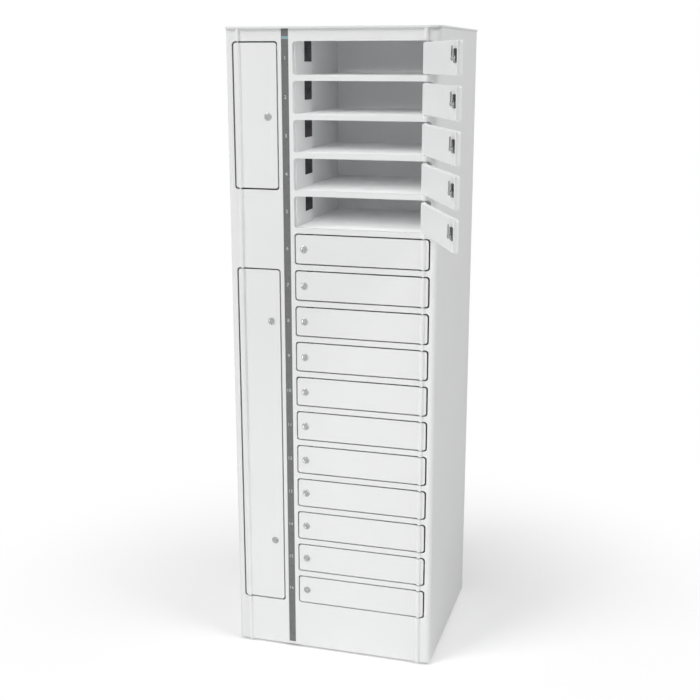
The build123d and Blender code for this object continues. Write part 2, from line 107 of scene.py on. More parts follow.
def addBump(tree, shader, noise, strength, distance, edgeRadius=0.0):
    bump = addNode(tree, "ShaderNodeBump", Strength=strength, Distance=distance)
    tree.links.new(noise.outputs["Fac"], bump.inputs["Height"])
    if edgeRadius > 0.0:
        edge = addNode(tree, "ShaderNodeBevel", samples=finishNoise["edgeSamples"],
                       Radius=edgeRadius)
        tree.links.new(edge.outputs["Normal"], bump.inputs["Normal"])
    tree.links.new(bump.outputs["Normal"], shader.inputs["Normal"])


powder = {
    # "inside" is a lighter copy of the front's colour: painted light that brightens the insides of
    # the compartments
    "front": (0.838, 0.841, 0.843), "inside": (0.858, 0.860, 0.862),
    "shade": 0.982,             # the darker tone, as a share of the colour
    "cloud": 3.2, "roughScale": 26.0, "roughness": (0.40, 0.50),
    "grain": 1500.0,            # fine orange peel
    "grainRoughness": 0.55, "grainStrength": 0.22, "grainDepth": 0.00004,
    "ior": 1.47, "gloss": 0.2, "carcassEdge": 0.0009, "insideEdge": 0.0005,
}


def powderCoat(name, colour, edgeRadius=0.0):
    material, tree, shader = newMaterial(name)
    shade = tuple(channel * powder["shade"] for channel in colour)
    blendColours(tree, shader, objectNoise(tree, powder["cloud"], detail=3.0), shade, colour)
    patches = objectNoise(tree, powder["roughScale"], detail=3.0)
    varyRoughness(tree, shader, patches, *powder["roughness"])
    grain = objectNoise(tree, powder["grain"], roughness=powder["grainRoughness"])
    addBump(tree, shader, grain, powder["grainStrength"], powder["grainDepth"], edgeRadius)
    shader.inputs["IOR"].default_value = powder["ior"]
    shader.inputs["Specular IOR Level"].default_value = powder["gloss"]
    return material


metal = {
    "shade": 0.86, "cloud": 60.0, "roughScale": 220.0,
    "scratchScale": 900.0, "scratchDepth": 0.00003, "edge": 0.0002,
}


def polishedMetal(name, colour, roughness, scratch):
    material, tree, shader = newMaterial(name)
    dark = tuple(channel * metal["shade"] for channel in colour)
    blendColours(tree, shader, objectNoise(tree, metal["cloud"], detail=3.0), dark, colour)
    varyRoughness(tree, shader, objectNoise(tree, metal["roughScale"], detail=3.0), *roughness)
    addBump(tree, shader, objectNoise(tree, metal["scratchScale"]), scratch,
            metal["scratchDepth"], metal["edge"])
    shader.inputs["Metallic"].default_value = 1.0
    return material


plastic = {
    "cloud": 45.0, "roughScale": 160.0, "grainDepth": 0.00005, "edge": 0.0004, "ior": 1.49,
    "moulded": (1100.0, 0.35), "smooth": (700.0, 0.12),     # grain scale and strength
}


def mouldedPlastic(name, dark, light, roughness, texture="moulded"):
    material, tree, shader = newMaterial(name)
    grain, strength = plastic[texture]
    blendColours(tree, shader, objectNoise(tree, plastic["cloud"], detail=3.0), dark, light)
    varyRoughness(tree, shader, objectNoise(tree, plastic["roughScale"]), *roughness)
    addBump(tree, shader, objectNoise(tree, grain), strength,
            plastic["grainDepth"], plastic["edge"])
    shader.inputs["IOR"].default_value = plastic["ior"]
    return material


glow = {"shade": 0.82, "cloud": 420.0, "roughness": 0.35}


def glowing(name, colour, strength):
    material, tree, shader = newMaterial(name)
    dim = tuple(channel * glow["shade"] for channel in colour)
    ramp = blendColours(tree, shader, objectNoise(tree, glow["cloud"], detail=1.0), dim, colour)
    tree.links.new(ramp.outputs["Color"], shader.inputs["Emission Color"])
    shader.inputs["Emission Strength"].default_value = strength
    shader.inputs["Roughness"].default_value = glow["roughness"]
    return material


frontPaint = powderCoat("frontPaint", powder["front"])
cadPaint = powderCoat("carcassPaint", powder["front"], powder["carcassEdge"])
# a lighter copy of the front's paint: painted light for the insides of the compartments
insidePaintWithPaintedLight = powderCoat("insidePaintWithPaintedLight", powder["inside"], powder["insideEdge"])
chrome = polishedMetal("lockChrome", (0.46, 0.465, 0.47), (0.20, 0.30), 0.12)
camSteel = polishedMetal("camSteel", (0.42, 0.42, 0.43), (0.26, 0.38), 0.3)
clipSteel = polishedMetal("clipSteel", (0.10, 0.10, 0.105), (0.30, 0.42), 0.3)
pinSteel = polishedMetal("pinSteel", (0.60, 0.60, 0.62), (0.22, 0.34), 0.25)
zincFoot = polishedMetal("zincFoot", (0.45, 0.45, 0.46), (0.32, 0.48), 0.35)
outletPlastic = mouldedPlastic("outletPlastic", (0.012, 0.012, 0.013), (0.020, 0.020, 0.022),
                               (0.38, 0.5))
stripPlastic = mouldedPlastic("stripPlastic", (0.146, 0.149, 0.148), (0.160, 0.163, 0.162),
                              (0.26, 0.34), "smooth")
boardGreen = mouldedPlastic("boardGreen", (0.02, 0.12, 0.06), (0.03, 0.16, 0.08), (0.4, 0.5))
caseGrey = mouldedPlastic("caseGrey", (0.20, 0.205, 0.21), (0.225, 0.23, 0.235), (0.4, 0.5))
numberGlow = glowing("numberGlow", (0.60, 0.66, 0.65), 0.12)
bandGlow = glowing("bandGlow", (0.27, 0.42, 0.47), 0.08)
print("materials ready:", len(bpy.data.materials))

nodeFinish = {
    "top_cover": cadPaint, "base_pan": cadPaint, "back_panel": cadPaint,
    "centre_partition": insidePaintWithPaintedLight, "compartment_back": insidePaintWithPaintedLight,
    "compartment_shelves": insidePaintWithPaintedLight, "wiring_trunk": insidePaintWithPaintedLight,
    "levelling_feet": zincFoot, "mains_inlet": outletPlastic, "indicator_board": boardGreen,
    "socket_outlets": outletPlastic, "power_rail": outletPlastic,
    "charge_controller": caseGrey, "hinge_pins": pinSteel,
}
for nodeName, finish in nodeFinish.items():
    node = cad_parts[nodeName]
    if not node.material_slots:
        node.data.materials.append(finish)
    for materialSlot in node.material_slots:
        materialSlot.material = finish


# Mesh making: faces are given with their own corner normals, and turned to match them

class FoldedMesh:
    def __init__(self):
        self.points, self.faces, self.normals = [], [], []

    def point(self, x, depth, z):
        self.points.append(Vector((x, frontY + depth, z)) * mm)
        return len(self.points) - 1

    def face(self, corners, normals):
        normals = [Vector(normal).normalized() for normal in normals]
        facing = Vector()
        for here, after in zip(corners, corners[1:] + corners[:1]):
            facing += self.points[here].cross(self.points[after])
        if facing.dot(sum(normals, Vector())) < 0:
            corners, normals = corners[::-1], normals[::-1]
        self.faces.append(list(corners))
        self.normals.append(normals)

    def band(self, lower, upper, lowerNormals, upperNormals, closed=True):
        count = len(lower)
        for i in range(count if closed else count - 1):
            j = (i + 1) % count
            self.face([lower[i], lower[j], upper[j], upper[i]],
                      [lowerNormals[i], lowerNormals[j], upperNormals[j], upperNormals[i]])

    def build(self, name, material, mirrored=False):
        points = [(-p.x, p.y, p.z) if mirrored else tuple(p) for p in self.points]
        faces, normals = self.faces, self.normals
        if mirrored:
            faces = [face[::-1] for face in faces]
            normals = [[(-n.x, n.y, n.z) for n in group[::-1]] for group in normals]
        mesh = bpy.data.meshes.new(name)
        mesh.from_pydata(points, [], faces)
        mesh.polygons.foreach_set("use_smooth", [True] * len(faces))
        mesh.normals_split_custom_set([tuple(n) for group in normals for n in group])
        mesh.materials.append(material)
        mesh.update()
        return mesh


def addPiece(name, mesh, body, place=None):
    if place is not None and place.to_euler().z != 0.0:     # open doors: turned in the mesh itself
        mesh = mesh.copy()
        mesh.transform(place)
        place = None
    piece = bpy.data.objects.new(name, mesh)
    bpy.context.collection.objects.link(piece)
    if place is not None:
        piece.matrix_world = place
    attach(piece, body)
    return piece


# Plan line of the folded front, right half, as (x, depth, normal x, normal depth)
sheetLine = {
    "halfWidth": 311.5, "backDepth": 541.0, "cornerRadius": 15.0,
    "beadX": 272.5, "beadDepth": -1.0, "beadRadius": 6.0,
    "foldFillet": 1.5,      # soft inside bends on both sides of the bead
    "bendSteps": 6, "beadSteps": 18, "cornerSteps": 12, "foldSteps": 4,
    "leastStep": 0.01,      # plan points nearer than this are one point
    "bendClear": 0.2,       # a column keeps this far from the end of a window
    "cornerFrom": 20.0,     # the corner's own points start this far outside the bead
}


def planLine():
    size = sheetLine
    bead = Vector((size["beadX"], size["beadDepth"]))
    radius, fillet, corner = size["beadRadius"], size["foldFillet"], size["cornerRadius"]
    rise = -fillet - bead.y
    aside = math.sqrt((radius + fillet) ** 2 - rise ** 2)
    toBead = math.atan2(-rise, aside)
    line = [(0.0, 0.0, 0.0, -1.0)]

    def arc(centre, size, start, stop, steps, side):
        for step in range(steps + 1):
            a = start + (stop - start) * step / steps
            c, s = math.cos(a), math.sin(a)
            line.append((centre.x + size * c, centre.y + size * s, side * c, side * s))

    arc(bead + Vector((-aside, rise)), fillet, math.pi / 2, toBead, size["bendSteps"], -1)
    arc(bead, radius, toBead - math.pi, -toBead, size["beadSteps"], 1)
    arc(bead + Vector((aside, rise)), fillet, math.pi - toBead, math.pi / 2, size["bendSteps"], -1)
    turn = Vector((size["halfWidth"] - corner, corner))
    arc(turn, corner, -math.pi / 2, 0.0, size["cornerSteps"], 1)
    line.append((size["halfWidth"], size["backDepth"], 1.0, 0.0))
    clean = line[:1]
    for entry in line[1:]:
        if math.hypot(entry[0] - clean[-1][0], entry[1] - clean[-1][1]) > size["leastStep"]:
            clean.append(entry)
    return clean


plan = planLine()
cornerStart = next(i for i, entry in enumerate(plan)
                   if entry[0] > sheetLine["beadX"] + sheetLine["cornerFrom"])
tiny = 1e-9


def columnAt(x):
    side = -1.0 if x < 0 else 1.0
    reach = abs(x)
    for first, second in zip(plan[:cornerStart], plan[1:cornerStart + 1]):
        if first[0] <= reach <= second[0] + tiny:
            part = (reach - first[0]) / max(second[0] - first[0], tiny)
            depth, nx, nd = (first[k] + (second[k] - first[k]) * part for k in (1, 2, 3))
            length = math.hypot(nx, nd)
            return x, depth, side * nx / length, nd / length
    raise ValueError("x outside the front: %s" % x)


def bendColumns(low, high):
    xs = [entry[0] for entry in plan[1:cornerStart]]
    xs += [-x for x in xs]
    clear = sheetLine["bendClear"]
    return sorted(x for x in xs if low + clear < x < high - clear)


def roundedStations(x0, x1, z0, z1, radius, steps=6):
    # upper and lower outline from left to right: x, z and the direction that points outwards
    upper = []
    for step in range(steps + 1):
        a = math.pi - math.pi / 2 * step / steps
        upper.append((x0 + radius + radius * math.cos(a), z1 - radius + radius * math.sin(a),
                      math.cos(a), math.sin(a)))
    upper += [(x, z1, 0.0, 1.0) for x in bendColumns(x0 + radius, x1 - radius)]
    for step in range(steps + 1):
        a = math.pi / 2 - math.pi / 2 * step / steps
        upper.append((x1 - radius + radius * math.cos(a), z1 - radius + radius * math.sin(a),
                      math.cos(a), math.sin(a)))
    lower = [(x, z0 + z1 - z, dx, -dz) for x, z, dx, dz in upper]
    return upper, lower


def onSheet(mesh, x, z, inward=0.0, depth=None):
    # a point at some thickness below the face, or carried straight back to a fixed depth
    x, faceDepth, nx, nd = columnAt(x)
    if depth is None:
        return mesh.point(x - nx * inward, faceDepth - nd * inward, z)
    return mesh.point(x - nx * inward, max(depth, faceDepth - nd * inward), z)


def sheetNormal(x, outward, dx, dz):
    # outward share of the face's normal, plus a direction in the sheet
    nx, nd = columnAt(x)[2:]
    return Vector((nx * outward - nd * dx, nd * outward + nx * dx, dz))


# One folded sheet makes both sides, the rounded corners, the beads and the front
frontSheet = {
    "thickness": 1.5, "low": 9.0, "high": 1895.0,
    "openingCorner": 9.0, "fold": 0.6, "jambDepth": 17.5,
    "seam": 0.5,            # how far an opening's top stands above the clear height
    "shelfStep": 0.25,      # and its foot above the floor
    "rightColumn": (-110.5, 292.0), "leftColumn": (-290.5, -154.7),
    "serviceOpenings": ((155.5, 1215.5), (1445.5, 1860.5)),
    "stripSlot": (-143.2, -122.1), "stripLow": 17.0, "stripHighGap": 0.6,
    "stripCorner": 0.6, "stripFold": 0.5, "stripSlotDepth": 8.0,
}


def foldedEdge(mesh, loop, fold, side):
    # rounds a sheet over its edge: side is 1 round a window and -1 round a door's skin
    steps = sheetLine["foldSteps"]
    rings, normals = [], []
    for step in range(steps + 1):
        a = math.pi / 2 * step / steps
        offset, inward = side * fold * (1 - math.sin(a)), fold * (1 - math.cos(a))
        lean = -side * math.sin(a)
        rings.append([onSheet(mesh, x + dx * offset, z + dz * offset, inward)
                      for x, z, dx, dz in loop])
        normals.append([sheetNormal(x + dx * offset, math.cos(a), dx * lean, dz * lean)
                        for x, z, dx, dz in loop])
    for step in range(steps):
        mesh.band(rings[step], rings[step + 1], normals[step], normals[step + 1])
    return rings


def windowEdges(mesh, window, corner, fold, jambDepth, thickness):
    x0, x1, z0, z1 = window
    upper, lower = roundedStations(x0, x1, z0, z1, corner)
    loop = upper + lower[::-1]
    rings = foldedEdge(mesh, loop, fold, 1)
    inside = [(-dx, 0.0, -dz) for x, z, dx, dz in loop]
    outside = [(dx, 0.0, dz) for x, z, dx, dz in loop]
    back = [(0.0, 1.0, 0.0)] * len(loop)
    end = [onSheet(mesh, x, z, fold, jambDepth) for x, z, dx, dz in loop]
    endOuter = [onSheet(mesh, x + dx * fold, z + dz * fold, fold, jambDepth)
                for x, z, dx, dz in loop]
    rear = [onSheet(mesh, x + dx * fold, z + dz * fold, thickness) for x, z, dx, dz in loop]
    mesh.band(rings[-1], end, inside, inside)
    mesh.band(end, endOuter, back, back)
    mesh.band(endOuter, rear, outside, outside)
    count = len(upper)
    return {"front": (rings[0][:count], rings[0][count:][::-1]),
            "rear": (rear[:count], rear[count:][::-1]),
            "xs": [x + dx * fold for x, z, dx, dz in upper]}


def makeFrontSheet():
    size = frontSheet
    mesh = FoldedMesh()
    low, high, thickness = size["low"], size["high"], size["thickness"]
    half = compartments["clearHeight"] / 2
    x0, x1 = size["rightColumn"]
    rightWindows = []
    for number in range(compartments["count"], 0, -1):
        middle = compartmentMiddle(number)
        rightWindows.append((x0, x1, middle - half + size["shelfStep"],
                             middle + half + size["seam"]))
    s0, s1 = size["leftColumn"]
    leftWindows = [(s0, s1, z0, z1) for z0, z1 in size["serviceOpenings"]]
    t0, t1 = size["stripSlot"]
    stacks = [
        (leftWindows, size["openingCorner"], size["fold"], size["jambDepth"]),
        ([(t0, t1, size["stripLow"], high - size["stripHighGap"])],
         size["stripCorner"], size["stripFold"], size["stripSlotDepth"]),
        (rightWindows, size["openingCorner"], size["fold"], size["jambDepth"]),
    ]
    columns = []        # the bottom and top edge, by column: sorting place, and four points
    beyond = 1000.0     # sorts the corner and side columns after those of the front
    chains = []
    for windows, corner, fold, jamb in stacks:
        edges = [windowEdges(mesh, w, corner, fold, jamb, thickness) for w in windows]
        xs = edges[0]["xs"]
        rims = {}
        for side, inward in (("front", 0.0), ("rear", thickness)):
            bottom = [onSheet(mesh, x, low, inward) for x in xs]
            top = [onSheet(mesh, x, high, inward) for x in xs]
            rims[side] = (bottom, top)
            share = 1.0 if side == "front" else -1.0
            normals = [sheetNormal(x, share, 0.0, 0.0) for x in xs]
            below = bottom
            for edge in edges:
                upperRow, lowerRow = edge[side]
                mesh.band(below, lowerRow, normals, normals, closed=False)
                below = upperRow
            mesh.band(below, top, normals, normals, closed=False)
        chain = {}
        for side in ("front", "rear"):
            bottom, top = rims[side]
            for end, name in ((0, "left"), (-1, "right")):
                line = [bottom[end]]
                for edge in edges:
                    line += [edge[side][1][end], edge[side][0][end]]
                chain[side, name] = line + [top[end]]
        chains.append(chain)
        for i, x in enumerate(xs):
            columns.append((x, rims["front"][0][i], rims["rear"][0][i],
                            rims["front"][1][i], rims["rear"][1][i]))
    # plain sheet between the three stacks
    for left, right in zip(chains[:-1], chains[1:]):
        for side, share in (("front", 1.0), ("rear", -1.0)):
            corners = left[side, "right"] + right[side, "left"][::-1]
            mesh.face(corners, [(0.0, -share, 0.0)] * len(corners))
    # strips beside the beads, rounded corners and flat sides
    for sign, chain, name in ((-1.0, chains[0], "left"), (1.0, chains[-1], "right")):
        previous = None
        for entry in plan[cornerStart:]:
            x, depth, nx, nd = sign * entry[0], entry[1], sign * entry[2], entry[3]
            points = []
            for z in (low, high):
                points.append(mesh.point(x, depth, z))
                points.append(mesh.point(x - nx * thickness, depth - nd * thickness, z))
            normal = Vector((nx, nd, 0.0))
            if previous is None:
                for side, share, a, b in (("front", 1.0, 0, 2), ("rear", -1.0, 1, 3)):
                    corners = chain[side, name] + [points[b], points[a]]
                    mesh.face(corners, [normal * share] * len(corners))
            else:
                old, oldNormal = previous
                mesh.face([old[0], points[0], points[2], old[2]],
                          [oldNormal, normal, normal, oldNormal])
                mesh.face([old[1], points[1], points[3], old[3]],
                          [-oldNormal, -normal, -normal, -oldNormal])
            previous = (points, normal)
            columns.append((sign * (beyond + plan.index(entry)), *points))
        mesh.face([points[0], points[1], points[3], points[2]], [(0.0, 1.0, 0.0)] * 4)
    columns.sort(key=lambda column: column[0])
    for first, second in zip(columns[:-1], columns[1:]):
        mesh.face([first[1], second[1], second[2], first[2]], [(0.0, 0.0, -1.0)] * 4)
        mesh.face([first[3], second[3], second[4], first[4]], [(0.0, 0.0, 1.0)] * 4)
    return mesh.build("frontSheet", frontPaint)


sheetPiece = addPiece("frontSheet", makeFrontSheet(), "cabinet")
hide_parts("front_top_rail", "front_bottom_rail", "front_mid_panel",
            "compartment_rails", "front_stile", "side_panel_left", "side_panel_right")
print("front sheet:", len(sheetPiece.data.polygons), "faces")


onAxis = 1e-4       # a profile point nearer than this to its axis is one point


def turned(mesh, centre, axis, profile, steps=28):
    # profile of (radius, distance along the axis), with the solid on its left-hand side
    directions = []
    for (r0, h0), (r1, h1) in zip(profile[:-1], profile[1:]):
        length = math.hypot(r1 - r0, h1 - h0)
        directions.append(((h1 - h0) / length, (r0 - r1) / length))

    def shared(index, segment):
        other = index - 1 if segment == index else index
        if 0 <= other < len(directions):
            a, b = directions[segment], directions[other]
            if a[0] * b[0] + a[1] * b[1] > 0.8:
                return (a[0] + b[0], a[1] + b[1])
        return directions[segment]

    def place(radius, along, angle):
        c, s = radius * math.cos(angle), radius * math.sin(angle)
        if axis == "z":
            return centre[0] + c, centre[1] + s, centre[2] + along
        return centre[0] + c, centre[1] + along, centre[2] + s

    def facing(normal, angle):
        c, s = normal[0] * math.cos(angle), normal[0] * math.sin(angle)
        return (c, s, normal[1]) if axis == "z" else (c, normal[1], s)

    angles = [fullTurn * step / steps for step in range(steps)]
    rings = []
    for radius, along in profile:
        if radius < onAxis:
            rings.append([mesh.point(*place(0.0, along, 0.0))])
        else:
            rings.append([mesh.point(*place(radius, along, a)) for a in angles])
    for segment in range(len(directions)):
        lower, upper = rings[segment], rings[segment + 1]
        lowNormal, highNormal = shared(segment, segment), shared(segment + 1, segment)
        for i, a in enumerate(angles):
            j = (i + 1) % steps
            corners, normals = [], []
            for ring, normal in ((lower, lowNormal), (upper, highNormal)):
                if len(ring) == 1:
                    corners.append(ring[0])
                    normals.append(facing(normal, a + math.pi / steps))
                else:
                    pair = (i, j) if ring is lower else (j, i)
                    corners += [ring[k] for k in pair]
                    normals += [facing(normal, angles[k]) for k in pair]
            mesh.face(corners, normals)


def block(mesh, x, depth, z, bevel=0.0):
    # plain plate, with its edges and corners cut by a small chamfer
    corners = {}
    for i, cx in enumerate(x):
        for j, cd in enumerate(depth):
            for k, cz in enumerate(z):
                sx, sd, sz = (1 if i == 0 else -1), (1 if j == 0 else -1), (1 if k == 0 else -1)
                corners[i, j, k] = (
                    mesh.point(cx, cd + sd * bevel, cz + sz * bevel),
                    mesh.point(cx + sx * bevel, cd, cz + sz * bevel),
                    mesh.point(cx + sx * bevel, cd + sd * bevel, cz))
    for axis in range(3):
        for side in (0, 1):
            others = [a for a in range(3) if a != axis]
            loop = []
            for a, b in ((0, 0), (1, 0), (1, 1), (0, 1)):
                key = [0, 0, 0]
                key[axis], key[others[0]], key[others[1]] = side, a, b
                loop.append(corners[tuple(key)][axis])
            normal = [0.0, 0.0, 0.0]
            normal[axis] = -1.0 if side == 0 else 1.0
            mesh.face(loop, [normal] * 4)
    if bevel > 0.0:
        for axis in range(3):
            others = [a for a in range(3) if a != axis]
            for a in (0, 1):
                for b in (0, 1):
                    ends = []
                    for side in (0, 1):
                        key = [0, 0, 0]
                        key[axis], key[others[0]], key[others[1]] = side, a, b
                        ends.append(corners[tuple(key)])
                    first, second = others
                    normal = [0.0, 0.0, 0.0]
                    normal[first] = -1.0 if a == 0 else 1.0
                    normal[second] = -1.0 if b == 0 else 1.0
                    mesh.face([ends[0][first], ends[1][first], ends[1][second], ends[0][second]],
                              [normal] * 4)
        for key, group in corners.items():
            mesh.face(list(group), [[-1.0 if k == 0 else 1.0 for k in key]] * 3)


# Lips that close the two jambs beside the stile
jambLips = {
    "service": (-155.0, -145.2), "compartments": (-121.0, -110.2), "depth": (15.9, 17.4),
    "foot": 2.2, "bevel": 0.2,
}


def makeJambLips():
    mesh = FoldedMesh()
    z = frontSheet["low"] + jambLips["foot"], frontSheet["high"]
    for key in ("service", "compartments"):
        block(mesh, jambLips[key], jambLips["depth"], z, jambLips["bevel"])
    return mesh.build("jambLips", frontPaint)


addPiece("jambLips", makeJambLips(), "cabinet")


# Doors: a folded skin with its bead and knuckles, an inner pan, and a cam lock

doorSize = {
    "freeX": -106.6, "endX": 287.5, "height": 84.7,
    "lowSeam": 0.9,         # raises the skin's lower edge
    "corner": 7.0, "skin": 1.2, "fold": 0.6,
    "rimDepth": 7.5, "flatEnd": 262.0, "beadRim": 0.5,
    "knuckle": 10.0, "knuckleGap": 0.3, "knuckleLap": 0.1, "holeBevel": 0.3, "knuckleBevel": 0.2,
    "pinHole": 2.06,
    "panLeft": 10.0, "panRight": 259.0, "panGap": 1.35, "panDepth": 12.0, "panBend": 2.2,
    "panCorner": 2.4, "panSeat": 0.02,
    "openAngle": 115.8, "openCount": 5,
}


def makeDoorSkin(freeX, endX, height):
    size = doorSize
    mesh = FoldedMesh()
    t = size["skin"]
    upper, lower = roundedStations(freeX, endX, -height / 2 + size["lowSeam"], height / 2,
                                   size["corner"])
    loop = upper + lower[::-1]
    count = len(upper)
    rings = foldedEdge(mesh, loop, size["fold"], -1)

    def rimRing(offset):
        ring = []
        for x, z, dx, dz in loop:
            px, pz = x + dx * offset, z + dz * offset
            if x <= size["flatEnd"]:
                ring.append(onSheet(mesh, px, pz, t, size["rimDepth"]))
            else:
                ring.append(onSheet(mesh, px, pz, t + size["beadRim"]))
        return ring

    outer, inner = rimRing(0.0), rimRing(-t)
    rear = [onSheet(mesh, x - dx * t, z - dz * t, t) for x, z, dx, dz in loop]
    away = [sheetNormal(x, 0.0, dx, dz) for x, z, dx, dz in loop]
    toward = [-n for n in away]
    back = [(0.0, 1.0, 0.0)] * len(loop)
    mesh.band(rings[-1], outer, away, away)
    mesh.band(outer, inner, back, back)
    mesh.band(inner, rear, toward, toward)
    face = [sheetNormal(x - dx * t, 1.0, 0.0, 0.0) for x, z, dx, dz in upper]
    mesh.band(rings[0][:count], rings[0][count:][::-1], face, face, closed=False)
    hidden = [-n for n in face]
    mesh.band(rear[:count], rear[count:][::-1], hidden, hidden, closed=False)
    inside = sheetLine["beadRadius"] - t + size["knuckleLap"]
    hole, inner, outer = size["pinHole"], size["holeBevel"], size["knuckleBevel"]
    gap, length = size["knuckleGap"], size["knuckle"]
    for low, high in ((-height / 2 + gap, -height / 2 + length),
                      (height / 2 - length, height / 2 - gap)):
        turned(mesh, (sheetLine["beadX"], sheetLine["beadDepth"], 0.0), "z", [
            (hole, low + inner), (hole + inner, low),
            (inside - outer, low), (inside, low + outer),
            (inside, high - outer), (inside - outer, high),
            (hole + inner, high), (hole, high - inner), (hole, low + inner)])
    return mesh


def makeDoorPan(freeX, height):
    size = doorSize
    mesh = FoldedMesh()
    bend, depth = size["panBend"], size["panDepth"]
    z = height / 2 - size["panGap"]
    upper, lower = roundedStations(freeX + size["panLeft"], size["panRight"], -z, z,
                                   size["panCorner"])
    loop = upper + lower[::-1]
    count = len(upper)
    steps = sheetLine["foldSteps"]
    rings, ringNormals = [], []
    for step in range(steps + 1):
        a = math.pi / 2 * step / steps
        offset, inward = -bend * (1 - math.sin(a)), bend * (1 - math.cos(a))
        rings.append([mesh.point(x + dx * offset, depth - inward, z + dz * offset)
                      for x, z, dx, dz in loop])
        ringNormals.append([(dx * math.sin(a), math.cos(a), dz * math.sin(a))
                            for x, z, dx, dz in loop])
    for step in range(steps):
        mesh.band(rings[step], rings[step + 1], ringNormals[step], ringNormals[step + 1])
    foot = [mesh.point(x, size["skin"] + size["panSeat"], z) for x, z, dx, dz in loop]
    away = [(dx, 0.0, dz) for x, z, dx, dz in loop]
    mesh.band(rings[-1], foot, away, away)
    for ring, normal in ((rings[0], (0.0, 1.0, 0.0)), (foot, (0.0, -1.0, 0.0))):
        normals = [normal] * count
        mesh.band(ring[:count], ring[count:][::-1], normals, normals, closed=False)
    return mesh


lockSize = {
    "inset": 24.5, "serviceInset": 26.6,
    "bezel": 11.0, "proud": 2.0, "bore": 5.58, "boreDepth": 4.0, "collarSteps": 36,
    "dish": ((0.0, -1.15), (0.25, -1.45), (1.3, -1.62)),        # out from the bore, and depth
    "rim": ((2.6, 0.0), (1.5, 0.0), (0.55, 0.35), (0.12, 0.95)),     # in from the edge, and drop
    "rimFoot": (-0.6, 0.25),
    "barrel": 8.0, "barrelStart": 0.3, "barrelTail": 4.5, "barrelBevel": 0.4, "boreBevel": 0.3,
    "plug": 5.5, "plugFace": -1.55, "plugBevel": 0.4, "plugSteps": 32,
    "slot": (1.5, 6.6), "slotDepth": 3.0,
    "clip": (23.0, 33.0), "clipThickness": 2.5, "clipRise": 6.0, "clipBend": 3.0,
    "clipPlay": 0.03, "clipSeat": 0.02,
    "jambDepth": 17.5, "camGap": 2.5, "camThickness": 2.0, "camWidth": 13.0, "camEdge": 0.3,
    "camReach": 30.0, "serviceCamReach": 37.0,
    "tipWidth": 0.86, "tipLength": 0.8,         # shares of the cam's half width, and of the tip's
    "washer": 0.5, "washerLap": 1.4, "washerWall": 0.3, "washerBevel": 0.2,
    "screwRadius": 4.5, "screwHeight": 1.8,
    "screwRound": ((0.0, 0.6), (0.5, 0.1), (1.5, 0.0)),     # in from the edge, and drop
    "recess": (2.0, 1.8, 0.9),                  # upper radius, lower radius and depth
}


def makeLockCollar(lockX, lockZ):
    # chrome ring with a dished face on the barrel that goes through the door
    size = lockSize
    mesh = FoldedMesh()
    radius, bore, barrel = size["bezel"], size["bore"], size["barrel"]
    bevel = size["barrelBevel"]
    end = doorSize["panDepth"] + size["barrelTail"] - bevel
    profile = [(bore, size["boreDepth"])]
    profile += [(bore + out, depth) for out, depth in size["dish"]]
    profile += [(radius - inset, -size["proud"] + drop) for inset, drop in size["rim"]]
    profile += [(radius, depth) for depth in size["rimFoot"]]
    profile += [(barrel, size["barrelStart"]), (barrel, end), (barrel - bevel, end + bevel),
                (bore + size["boreBevel"], end + bevel), (bore, end), profile[0]]
    turned(mesh, (lockX, 0.0, lockZ), "y", profile, size["collarSteps"])
    return mesh


def makeLockClip(lockX, lockZ):
    # fork clip pushed over the barrel behind the pan: two prongs, joined above
    size = lockSize
    mesh = FoldedMesh()
    (width, height), barrel = size["clip"], size["barrel"] + size["clipPlay"]
    front = doorSize["panDepth"] + size["clipSeat"]
    back = front + size["clipThickness"] - size["clipSeat"]
    low, top = size["clipRise"] - height / 2, size["clipRise"] + height / 2
    half, bend = width / 2, size["clipBend"]
    outline = [(-half, low), (-barrel, low)]
    for k in range(13):
        a = math.pi - math.pi * k / 12
        outline.append((barrel * math.cos(a), barrel * math.sin(a)))
    outline += [(barrel, low), (half, low)]
    for side in (1, -1):
        for k in range(5):
            a = math.pi / 8 * k if side > 0 else math.pi / 8 * (4 + k)
            outline.append((side * (half - bend) + bend * math.cos(a),
                            top - bend + bend * math.sin(a)))
    count = len(outline)
    rings = [[mesh.point(lockX + x, depth, lockZ + z) for x, z in outline]
             for depth in (front, back)]
    for i in range(count):
        j = (i + 1) % count
        (ax, az), (bx, bz) = outline[i], outline[j]
        mesh.face([rings[0][i], rings[0][j], rings[1][j], rings[1][i]],
                  [(az - bz, 0.0, bx - ax)] * 4)
    mesh.face(rings[1], [(0.0, 1.0, 0.0)] * count)
    mesh.face(rings[0], [(0.0, -1.0, 0.0)] * count)
    return mesh


